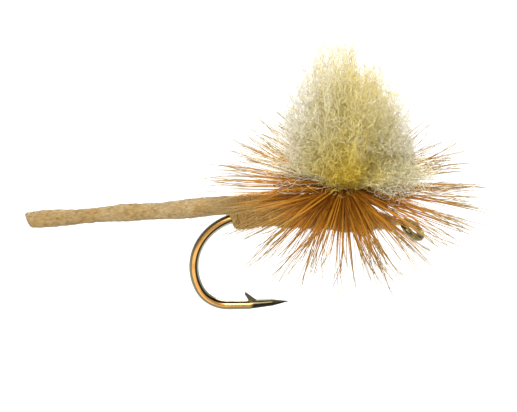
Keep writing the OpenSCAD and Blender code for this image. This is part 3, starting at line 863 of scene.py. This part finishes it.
def barbPaths(dice, count, clumpSize, length, steps, scatter):
    # each barb leaves the stem helix outwards; those of a clump draw together towards the tips,
    # then part again over the last third
    t = stepRow(steps)
    # fewer barbs lie over the body than to the front and the sides
    turnShare = np.linspace(0, 1, 400)
    turned = 2 * np.pi * stemTurns * turnShare
    thinning = np.cumsum(1 - 0.45 * bump(turned, 190, 42) - 0.65 * bump(turned, 333, 12))
    order = (np.arange(count) + dice.uniform(-0.7, 0.7, count)) / count
    place = np.interp(order, thinning / thinning[-1], turnShare)
    clumpOf = np.arange(count) // clumpSize
    clumps = clumpOf.max() + 1
    own = 2 * np.pi * stemTurns * place + dice.normal(0, 0.03, count)
    astray = np.where(dice.uniform(0, 1, clumps) < 0.3, 0.26, 0.07)
    together = np.bincount(clumpOf, own) / np.bincount(clumpOf) + astray * dice.normal(0, 1, clumps)
    clumpLift = dice.normal(0, scatter, clumps)
    clumpPull = dice.uniform(0.2, 0.95, clumps)
    clumpReach = 1.05 - 0.3 * dice.beta(1.1, 1.8, clumps)
    clumpBend = dice.normal(0, 0.07, clumps)
    draw = np.clip(t / 0.7, 0, 1) ** 0.8
    part = np.clip((t - 0.6) / 0.4, 0, 1) ** 1.5
    around = own[:, None] + ((together[clumpOf] - own) * clumpPull[clumpOf])[:, None] * draw
    around = around + dice.normal(0, 0.03, count)[:, None] * part + clumpBend[clumpOf][:, None] * t ** 2
    slope = barbSlope(together)[clumpOf] + clumpLift[clumpOf]
    slope = slope[:, None] + dice.normal(0, 2.2, count)[:, None] * (1 - 0.8 * draw)
    slope = slope + dice.normal(0, 2.0, count)[:, None] * part
    curl = dice.normal(6, 6, clumps)[clumpOf] + dice.normal(0, 2, count)
    elevation = np.radians(slope + curl[:, None] * (0.5 - t))
    reach = length * clumpReach[clumpOf] * dice.uniform(0.88, 1.02, count)
    step = reach[:, None] / (steps - 1)
    out = stemReach + np.cumsum(np.cos(elevation) * step, axis=1) - step
    climb = np.sin(elevation) * step
    up = stemStart + stemRise * place[:, None] + np.cumsum(climb, axis=1) - climb
    return np.stack([postX + out * np.cos(around), out * np.sin(around), up], axis=-1), t


def addHackle():
    dice = np.random.default_rng(41)
    paths, t = barbPaths(dice, hackle["count"], hackle["clump"], hackle["length"], 16, hackle["scatter"])
    thick = dice.uniform(0.7, 1.2, hackle["count"])[:, None]
    radii = thick * (hackle["tipRadius"] + (hackle["rootRadius"] - hackle["tipRadius"]) * (1 - t) ** 0.7)
    mesh = fibreBundle("hackle_barb_fan", paths, radii, 4, dice.beta(2.2, 1.6, hackle["count"]))
    finishPiece(mesh, barbFinish, ["hackle_barbs"])
    dice = np.random.default_rng(42)
    paths, t = barbPaths(dice, hackle["web"], 3, hackle["webLength"], 7, 7.0)
    radii = 0.02 * mm * (1 - 0.75 * t) * np.ones((hackle["web"], 1))
    mesh = fibreBundle("hackle_web", paths, radii, 3, dice.beta(1.3, 2.4, hackle["web"]))
    finishPiece(mesh, webFinish, [])


addStem()
addHackle()
print("hackle made")


# ---- yarn wing

wing = {"strands": 2300, "steps": 80, "radius": 0.0165 * mm, "locks": 90, "lockSpread": 0.5 * mm, "pieces": 6,
        "ripples": ((0.36, 0.052), (0.6, 0.09), (1.3, 0.17), (3.4, 0.27)), "tuft": 300, "wisps": 130,
        "hanging": 34, "curls": 1300, "depth": 0.75, "frontLift": 0.24}
# height of the crown above the foot of the wing at places along X from the post, in millimetres
crown = np.array([(-3.9, 6.0), (-3.5, 8.0), (-2.7, 9.8), (-1.7, 10.9), (-0.3, 10.2), (0.6, 8.3), (1.7, 8.3),
                  (3.0, 7.4), (3.7, 6.0), (4.2, 4.4)]) * mm
wingFoot = wrapsHigh[2]


def waves(dice, t, length, amplitude, wave):
    # sine waves across a strand in random planes, each strand with its own wavelength and phase
    count = len(length)
    direction = unitRows(dice.normal(size=(count, 3)))
    period = wave * dice.uniform(0.7, 1.4, count)
    drift = 1 + 0.25 * np.sin(2 * np.pi * (t + dice.uniform(0, 1, count)[:, None]))
    phase = dice.uniform(0, 2 * np.pi, count)[:, None]
    swing = np.sin(2 * np.pi * t * (length / period)[:, None] * drift + phase)
    return direction[:, None, :] * (amplitude * swing)[..., None]


def tangled(dice, spine, length, looseness):
    # waves of several lengths run in every direction, growing from nothing at the foot
    t = np.linspace(0, 1, spine.shape[1])[None, :]
    total = sum(waves(dice, t, length, amount * mm, wave * mm) for wave, amount in wing["ripples"] * 2)
    return spine + total * (np.clip(t / 0.12, 0, 1) * looseness[:, None])[..., None]


def bezier(first, second, third, last, t):
    # cubic curve through first and last, steered by second and third
    t = t[..., None]
    return ((1 - t) ** 3 * first[:, None] + 3 * t * (1 - t) ** 2 * second[:, None]
            + 3 * t ** 2 * (1 - t) * third[:, None] + t ** 3 * last[:, None])


def lifted(paths):
    # the near side of the bush hangs clear of the hackle
    paths[..., 2] += wing["frontLift"] * np.clip(-paths[..., 1], 0, None)
    return paths


def addWing():
    dice = np.random.default_rng(51)
    count, steps = wing["strands"], wing["steps"]
    t = stepRow(steps)
    footAngle = dice.uniform(0, 2 * np.pi, count)
    footReach = 0.5 * mm * np.sqrt(dice.uniform(0, 1, count))
    foot = np.stack([postX + footReach * np.cos(footAngle), footReach * np.sin(footAngle),
                     np.full(count, wingFoot - 0.1 * mm)], axis=1)
    # locks aim at places spread through the bush, each strand lands near its own lock's aim
    spread = dice.uniform(0, 1, wing["locks"]) ** 0.95
    bearing = 2 * np.pi * (np.arange(wing["locks"]) * 0.618 % 1)
    lockX = 0.2 * mm + 4.2 * mm * spread * np.cos(bearing)
    lockY = 3.8 * mm * wing["depth"] * spread * np.sin(bearing)
    lockRise = dice.beta(1.6, 1.35, wing["locks"])
    lock = dice.integers(0, wing["locks"], count)
    tipX = np.clip(lockX[lock] + dice.normal(0, wing["lockSpread"], count), -4.0 * mm, 4.3 * mm)
    tipY = lockY[lock] + dice.normal(0, wing["lockSpread"], count)
    top = np.interp(tipX, crown[:, 0], crown[:, 1]) - np.where(tipY > 0, 0.5 * tipY, -0.25 * tipY)
    # strands that end far to the side end high
    lowest = 0.06 + 0.3 * (np.abs(tipX) / (3.8 * mm)) ** 1.5
    rise = np.clip(lockRise[lock] + dice.normal(0, 0.14, count), lowest, 1.06)
    tip = np.stack([postX + tipX, tipY, wingFoot + top * rise], axis=1)
    # a strand opens sideways first, then climbs
    flat = (tip - foot) * (1, 1, 0)
    second = foot + 0.42 * flat + np.array((0, 0, 1)) * 0.1 * top[:, None]
    third = foot + 1.04 * flat + np.array((0, 0, 1)) * (0.42 * top * rise)[:, None]
    spine = bezier(foot, second, third, tip, t)
    length = np.linalg.norm(tip - foot, axis=1) * 1.15
    paths = lifted(tangled(dice, spine, length, dice.uniform(0.6, 1.5, count)))
    radii = wing["radius"] * dice.uniform(0.75, 1.15, count)[:, None] * (1 - 0.3 * t ** 3)
    tones = dice.uniform(0, 1, count)
    # colour is deepest low in the middle of the bush
    middle = np.abs(paths[..., 0] - postX - 0.3 * mm) / (3.7 * mm)
    paleness = (paths[..., 2] - wingFoot) / (13 * mm) + 0.7 * middle ** 1.6
    share = count // wing["pieces"]
    for part in range(wing["pieces"]):
        some = slice(part * share, count if part == wing["pieces"] - 1 else (part + 1) * share)
        name = f"wing_yarn_{part + 1}"
        mesh = fibreBundle(name, paths[some], radii[some], 3, tones[some])
        pointValue(mesh, "along", np.clip(np.repeat(paleness[some].ravel(), 3), 0, 1))
        finishPiece(mesh, yarnFinish, ["wing_yarn"] if part == 0 else [])


def addCurls():
    # short loose curls caught in the outer bush at every angle
    dice = np.random.default_rng(55)
    count, steps = wing["curls"], 22
    t = stepRow(steps)
    bearing = dice.uniform(0, 2 * np.pi, count)
    reach = 3.4 * mm * dice.uniform(0.3, 1.1, count)
    x, y = 0.2 * mm + 1.08 * reach * np.cos(bearing), wing["depth"] * reach * np.sin(bearing)
    top = np.interp(x, crown[:, 0], crown[:, 1]) - np.where(y > 0, 0.5 * y, -0.25 * y)
    z = wingFoot + top * np.maximum(dice.beta(1.5, 1.8, count), 0.45 * (reach / (3.4 * mm)) ** 2)
    start = np.stack([postX + x, y, z], axis=1)
    outwards = np.stack([np.cos(bearing), np.sin(bearing), 0 * x + 1.0], axis=1)
    lean = unitRows(dice.normal(size=(count, 3)) + outwards * 0.6)
    length = dice.uniform(0.8, 1.9, count) * mm
    spine = start[:, None, :] + (lean * length[:, None])[:, None, :] * (t[..., None] - 0.4)
    paths = spine + waves(dice, t, length, 0.1 * mm, 0.6 * mm) + waves(dice, t, length, 0.2 * mm, 1.2 * mm)
    radii = wing["radius"] * (1 - 0.4 * t) * np.ones((count, 1))
    mesh = fibreBundle("wing_curls", lifted(paths), radii, 3, dice.uniform(0.4, 1, count))
    pointValue(mesh, "along", np.repeat(0.15 + 0.75 * (reach / (3.4 * mm))[:, None] ** 2 + 0 * t, 3))
    finishPiece(mesh, yarnFinish, [])


def addTuft():
    # loose strands that fall forward over the hackle
    dice = np.random.default_rng(52)
    count, steps = wing["tuft"], wing["steps"]
    t = stepRow(steps)
    foot = np.array((postX, 0, wingFoot + 0.1 * mm)) + dice.normal(0, 0.25 * mm, (count, 3))
    aim = np.array((5.6, -1.3, 1.35)) * mm
    tip = foot + aim * dice.uniform(0.5, 1.08, count)[:, None]
    tip = tip + dice.normal(0, 1, (count, 3)) * np.array((0.4, 0.9, 0.62)) * mm
    arch = np.array((0, 0, 1)) * dice.uniform(0.1, 0.7, count)[:, None] * mm
    spine = bezier(foot, foot + 0.3 * (tip - foot) + arch, foot + 0.7 * (tip - foot) + arch, tip, t)
    length = np.linalg.norm(tip - foot, axis=1) * 1.1
    paths = tangled(dice, spine, length, dice.uniform(0.6, 1.4, count))
    radii = wing["radius"] * dice.uniform(0.75, 1.1, count)[:, None] * (1 - 0.35 * t ** 3)
    mesh = fibreBundle("wing_front_tuft", paths, radii, 3, dice.uniform(0.3, 1, count))
    pointValue(mesh, "along", np.broadcast_to(0.3 + 0.6 * t[..., None], (count, steps, 3)))
    finishPiece(mesh, yarnFinish, [])


def addWisps():
    # thin pale wisps to the rear among the barbs, and a few that hang over the roots of the near barbs
    dice = np.random.default_rng(53)
    count = wing["wisps"] + wing["hanging"]
    hanging = np.arange(count) >= wing["wisps"]
    t = stepRow(wing["steps"])
    foot = np.array((postX, 0, wingFoot)) + dice.normal(0, 0.3 * mm, (count, 3))
    bearing = np.radians(np.where(hanging, dice.normal(248, 42, count), dice.normal(172, 14, count)))
    climb = np.radians(np.where(hanging, dice.uniform(2, 22, count), dice.uniform(-2, 26, count)))
    reach = np.where(hanging, dice.uniform(1.3, 2.4, count), dice.uniform(3.2, 6.8, count)) * mm
    tip = foot + reach[:, None] * np.stack([np.cos(bearing) * np.cos(climb), np.sin(bearing) * np.cos(climb),
                                            np.sin(climb)], axis=1)
    spine = bezier(foot, foot + 0.35 * (tip - foot), foot + 0.75 * (tip - foot), tip, t)
    paths = tangled(dice, spine, np.where(hanging, 1.0, 0.5) * reach, dice.uniform(0.4, 1.1, count))
    radii = 0.018 * mm * (1 - 0.5 * t) * np.ones((count, 1))
    mesh = fibreBundle("wing_wisps", paths, radii, 3, dice.uniform(0, 1, count))
    pointValue(mesh, "along", np.repeat(np.where(hanging, 0.25, 0.8)[:, None] + 0 * t, 3))
    finishPiece(mesh, yarnFinish, [])


addWing()
addCurls()
addTuft()
addWisps()
print("wing made")


# ---- stage: pale floor well below the fly, and soft studio light

studio = {"floorDrop": 90 * mm, "floorColour": (0.93, 0.93, 0.925), "sky": 0.58, "front": 1.3, "back": 0.8}


def addFloor():
    half = 3.0
    z = cadLow[2] - studio["floorDrop"]
    mesh = bpy.data.meshes.new("floor")
    corners = [(-half, -half, z), (half, -half, z), (half, half, z), (-half, half, z)]
    mesh.from_pydata(corners, [], [(0, 1, 2, 3)])
    material, tree, shader = newMaterial("floor", {"Roughness": 0.9, "Specular IOR Level": 0.1})
    grain = noise(tree, objectPlace(tree), 4 * mm, 2.0)
    tree.links.new(mixColour(tree, mapRange(tree, grain, 0.3, 0.7, 0.0, 0.02), studio["floorColour"],
                             (0.9, 0.9, 0.9)), shader.inputs["Base Color"])
    mesh.materials.append(material)
    floor = bpy.data.objects.new("floor", mesh)
    bpy.context.scene.collection.objects.link(floor)


def addSoftbox(name, place, size, power):
    light = bpy.data.lights.new(name, "AREA")
    light.shape = "RECTANGLE"
    light.size = size[0]
    light.size_y = size[1]
    light.energy = power
    lamp = bpy.data.objects.new(name, light)
    aim = Vector(view["target"]) - Vector(place)
    lamp.matrix_world = Matrix.Translation(place) @ aim.to_track_quat("-Z", "Y").to_matrix().to_4x4()
    bpy.context.scene.collection.objects.link(lamp)


addFloor()
world = bpy.data.worlds.new("studio")
world.use_nodes = True
sky = world.node_tree.nodes["Background"].inputs
sky["Color"].default_value = (1.0, 1.0, 1.0, 1.0)
sky["Strength"].default_value = studio["sky"]
bpy.context.scene.world = world
addSoftbox("front", (-0.09, -0.22, 0.26), (0.22, 0.2), studio["front"])
addSoftbox("back", (0.02, 0.2, 0.2), (0.24, 0.24), studio["back"])
bpy.context.scene.view_settings.view_transform = "Standard"
print("stage set")
